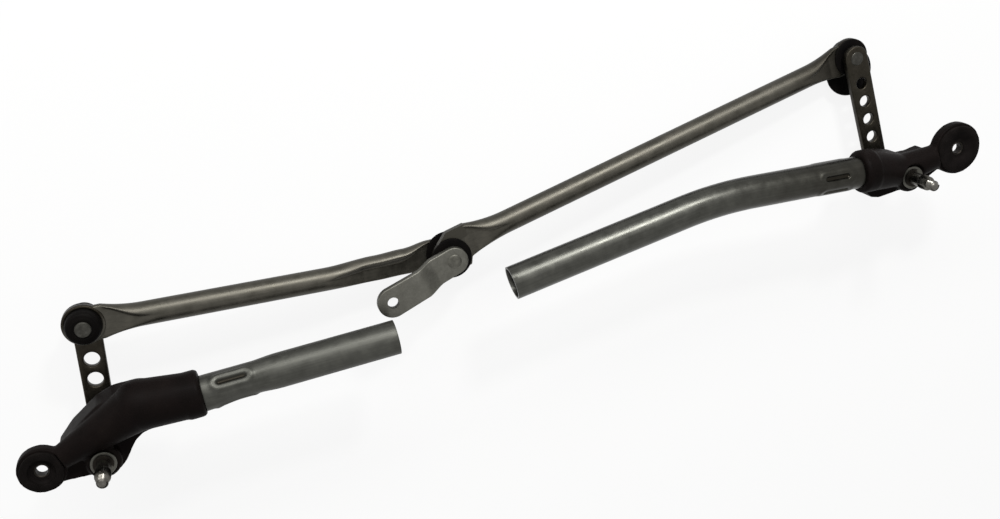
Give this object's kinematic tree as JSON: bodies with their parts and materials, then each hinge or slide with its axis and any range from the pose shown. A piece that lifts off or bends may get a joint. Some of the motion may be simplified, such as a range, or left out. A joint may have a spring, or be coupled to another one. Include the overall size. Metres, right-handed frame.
{
  "type": "wiper linkage",
  "caption": "Windscreen wiper linkage: tubular half frames with wiper shafts and rubber-bushed lugs, joined by perforated cranks, ball-jointed link rods and a motor crank.",
  "frame": {"origin": "on the left wiper shaft's axis, at the top face of its boss", "axes": "+Z along the wiper shafts towards the wiper arms, +X from the left shaft to the right shaft"},
  "size_m": [0.7605, 0.1187, 0.0999],
  "materials": {
    "black casting": "satin black coat",
    "zinc tube": "zinc plated",
    "zinc rod": "zinc plated",
    "zinc plate": "zinc plated, dull",
    "dark steel": "black phosphate",
    "bright steel": "turned",
    "bronze": "sintered",
    "rubber": "moulded",
    "black plastic": "moulded"
  },
  "bodies": {
    "left_frame": {"left_housing": "black casting", "left_tube": "zinc tube", "left_upper_bush": "bronze", "left_lower_bush": "bronze", "left_seal": "rubber", "left_grommet": "rubber", "left_sleeve": "dark steel"},
    "left_crank": {"left_shaft": "bright steel", "left_washer": "zinc plate", "left_clip": "dark steel", "left_thrust_washer": "zinc plate", "left_crank": "dark steel", "left_stud": "bright steel"},
    "left_rod": {"left_rod": "zinc rod", "left_outer_socket": "black plastic", "left_inner_socket": "black plastic"},
    "motor_crank": {"motor_crank": "zinc plate", "motor_stud": "bright steel"},
    "right_rod": {"right_rod": "zinc rod", "right_outer_socket": "black plastic", "right_inner_socket": "black plastic"},
    "right_crank": {"right_shaft": "bright steel", "right_washer": "zinc plate", "right_clip": "dark steel", "right_thrust_washer": "zinc plate", "right_crank": "dark steel", "right_stud": "bright steel"},
    "right_frame": {"right_housing": "black casting", "right_tube": "zinc tube", "right_upper_bush": "bronze", "right_lower_bush": "bronze", "right_seal": "rubber", "right_grommet": "rubber", "right_sleeve": "dark steel"}
  },
  "joints": [
    {"name": "left_shaft_turn", "type": "hinge", "parent": "left_frame", "child": "left_crank", "pos_m": [0, 0, 0], "axis": [0, 0, 1], "range_deg": [-50, 40]},
    {"name": "left_outer_ball", "type": "hinge", "parent": "left_crank", "child": "left_rod", "pos_m": [0.01748, 0.08829, -0.026], "axis": [0, 0, -1], "range_deg": [-50, 40]},
    {"name": "motor_crank_ball", "type": "hinge", "parent": "left_rod", "child": "motor_crank", "pos_m": [0.276, 0.046, -0.0571], "axis": [0, 0, 1], "continuous": true},
    {"name": "right_inner_ball", "type": "hinge", "parent": "left_rod", "child": "right_rod", "pos_m": [0.276, 0.046, -0.0428], "axis": [0, 0, -1], "range_deg": [-20, 20]},
    {"name": "right_outer_ball", "type": "hinge", "parent": "right_rod", "child": "right_crank", "pos_m": [0.63278, 0.09172, -0.065], "axis": [0, 0, 1], "range_deg": [-50, 40]},
    {"name": "right_shaft_turn", "type": "hinge", "parent": "right_crank", "child": "right_frame", "pos_m": [0.64, 0, 0], "axis": [0, 0, -1], "range_deg": [-50, 40]}
  ]
}
